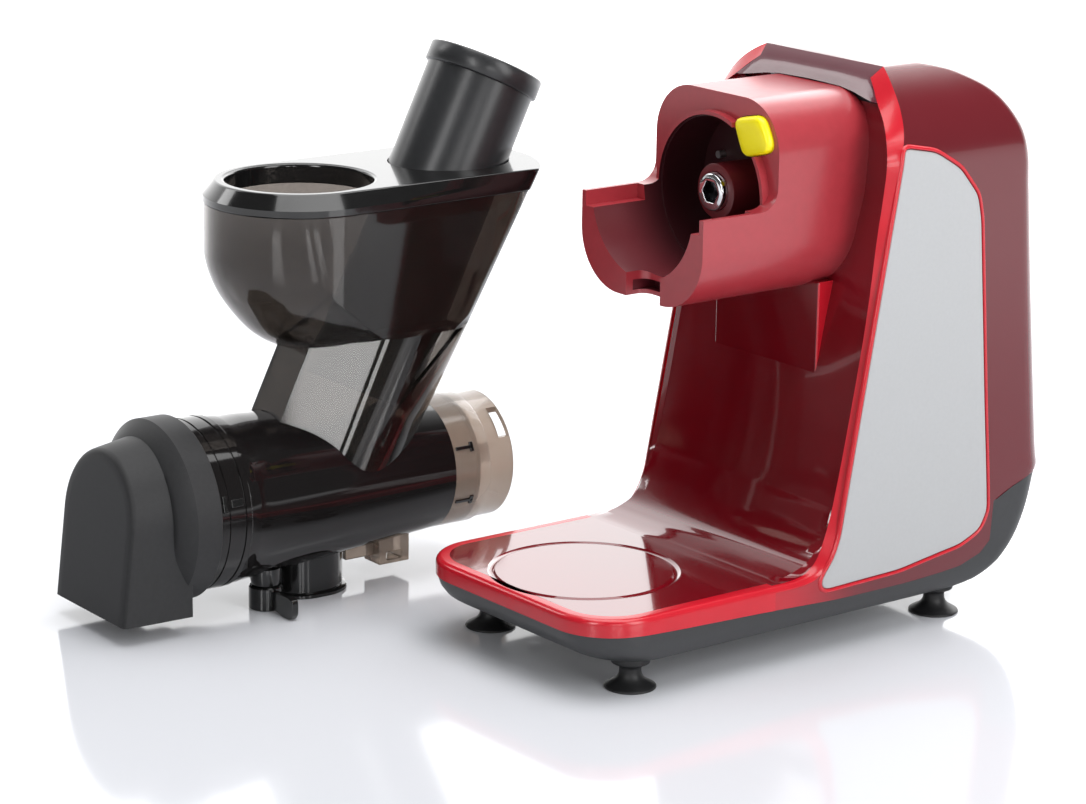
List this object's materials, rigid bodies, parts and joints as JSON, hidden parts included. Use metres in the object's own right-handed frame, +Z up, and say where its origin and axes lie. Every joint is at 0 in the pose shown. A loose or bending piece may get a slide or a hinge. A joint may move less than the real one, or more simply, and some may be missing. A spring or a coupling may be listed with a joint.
{
  "type": "slow juicer",
  "caption": "Horizontal slow juicer: motor unit with drive socket and cradle on a deck, and its juicing head with hopper, pusher, auger and end cap stood beside it.",
  "frame": {"origin": "centre of the whole set's bounding box, on the floor", "axes": "-Y is the way the drive socket faces, the motor unit's front; +X is its right side; +Z is up"},
  "size_m": [0.3311, 0.4962, 0.328],
  "materials": {
    "red_gloss": "deep red lacquer, high gloss",
    "red_gloss_deep": "darker red lacquer, high gloss",
    "panel_silver": "light grey satin lacquer",
    "charcoal": "charcoal plastic, fine grain",
    "rubber_black": "black rubber, matt",
    "steel": "plain steel, satin",
    "red_satin": "red plastic, satin",
    "red_dark": "dark red plastic, satin",
    "yellow": "yellow plastic, gloss",
    "chrome": "chromed steel, polished",
    "gear_plastic": "ivory nylon, satin",
    "plate_aluminium": "cast aluminium, satin",
    "bush_brass": "sintered brass, satin",
    "stator_iron": "laminated iron, bare",
    "rotor_iron": "laminated iron and copper, varnished",
    "black_plastic": "black plastic, fine grain",
    "board_green": "green circuit board",
    "smoke_clear": "smoky brown clear plastic, polished",
    "black_gloss": "black plastic, high gloss",
    "smoke_light": "light smoky clear plastic",
    "seal_silicone": "grey silicone, matt",
    "black_satin": "black plastic, satin",
    "grey_satin": "dark grey plastic, satin"
  },
  "bodies": {
    "motor_unit": {"front_housing": "red_gloss", "rear_housing": "red_gloss_deep", "side_panel_right": "panel_silver", "side_panel_left": "panel_silver", "base_tray": "charcoal", "feet": "rubber_black", "tray_screws": "steel", "snout": "red_satin", "snout_bracket": "red_gloss_deep", "hub_collar": "red_dark", "output_bearings": "steel", "gearbox_front_plate": "plate_aluminium", "gearbox_rear_plate": "plate_aluminium", "gearbox_spacers": "plate_aluminium", "gearbox_screws": "steel", "idler_bushes": "bush_brass", "motor_stator": "stator_iron", "motor_frame": "plate_aluminium", "rotor_bearings": "steel", "control_board": "board_green", "switch_bezel": "black_plastic", "cord_gland": "rubber_black"},
    "output_drive": {"drive_coupler": "chrome", "output_shaft": "steel", "output_gear": "gear_plastic"},
    "idler": {"idler_gear": "gear_plastic", "idler_axle": "steel"},
    "rotor": {"motor_rotor": "rotor_iron", "motor_pinion": "bush_brass", "motor_fan": "black_plastic"},
    "button": {"release_button": "yellow"},
    "interlock": {"interlock_pin": "steel"},
    "power_switch": {"switch_rocker": "black_plastic"},
    "head": {"drum": "smoke_clear", "juice_spout": "black_gloss", "locking_lug": "smoke_light", "valve_boss": "black_gloss", "shaft_seal": "seal_silicone", "cap_seal": "seal_silicone", "juice_screen": "steel", "hopper": "smoke_clear"},
    "cap": {"end_cap": "black_satin"},
    "auger_unit": {"auger": "black_gloss", "auger_shaft": "steel"},
    "valve": {"valve_lever": "black_gloss"},
    "lid": {"hopper_lid": "black_gloss"},
    "pusher": {"pusher_body": "grey_satin", "pusher_cap": "grey_satin"}
  },
  "joints": [
    {"name": "output_spin", "type": "hinge", "parent": "motor_unit", "child": "output_drive", "pos_m": [0.07846, 0.06321, 0.2565], "axis": [0, -1, 0], "continuous": true},
    {"name": "idler_spin", "type": "hinge", "parent": "motor_unit", "child": "idler", "pos_m": [0.07846, 0.14321, 0.1935], "axis": [0, -1, 0], "continuous": true},
    {"name": "rotor_spin", "type": "hinge", "parent": "motor_unit", "child": "rotor", "pos_m": [0.07846, 0.19321, 0.1575], "axis": [0, -1, 0], "continuous": true},
    {"name": "button_press", "type": "slide", "parent": "motor_unit", "child": "button", "axis": [0, 1, 0], "range_m": [0, 0.005], "stiffness_N_per_m": 400},
    {"name": "interlock_press", "type": "slide", "parent": "motor_unit", "child": "interlock", "axis": [0, 1, 0], "range_m": [0, 0.004], "stiffness_N_per_m": 150},
    {"name": "switch_rock", "type": "hinge", "parent": "motor_unit", "child": "power_switch", "pos_m": [0.07846, 0.23951, 0.12965], "axis": [1, 0, 0], "range_deg": [-10, 10]},
    {"name": "head_lift", "type": "slide", "parent": "motor_unit", "child": "head", "axis": [0, 0, 1], "range_m": [0, 0.25]},
    {"name": "cap_twist", "type": "hinge", "parent": "head", "child": "cap", "pos_m": [-0.11193, -0.2171, 0.0651], "axis": [0.0269, 0.9996, 0], "range_deg": [0, 20]},
    {"name": "auger_spin", "type": "hinge", "parent": "head", "child": "auger_unit", "pos_m": [-0.1087, -0.09714, 0.0651], "axis": [0.0269, 0.9996, 0], "continuous": true},
    {"name": "valve_turn", "type": "hinge", "parent": "head", "child": "valve", "pos_m": [-0.08987, -0.14066, 0.0051], "axis": [0, 0, -1], "range_deg": [0, 90]},
    {"name": "lid_lift", "type": "slide", "parent": "head", "child": "lid", "axis": [0.0118, 0.4382, 0.8988], "range_m": [0, 0.03]},
    {"name": "pusher_slide", "type": "slide", "parent": "head", "child": "pusher", "axis": [0.0118, 0.4382, 0.8988], "range_m": [0, 0.12]}
  ],
  "couplings": [
    {"joint": "idler_spin", "follows": "output_spin", "ratio": -4.25},
    {"joint": "rotor_spin", "follows": "output_spin", "ratio": 12.75}
  ]
}
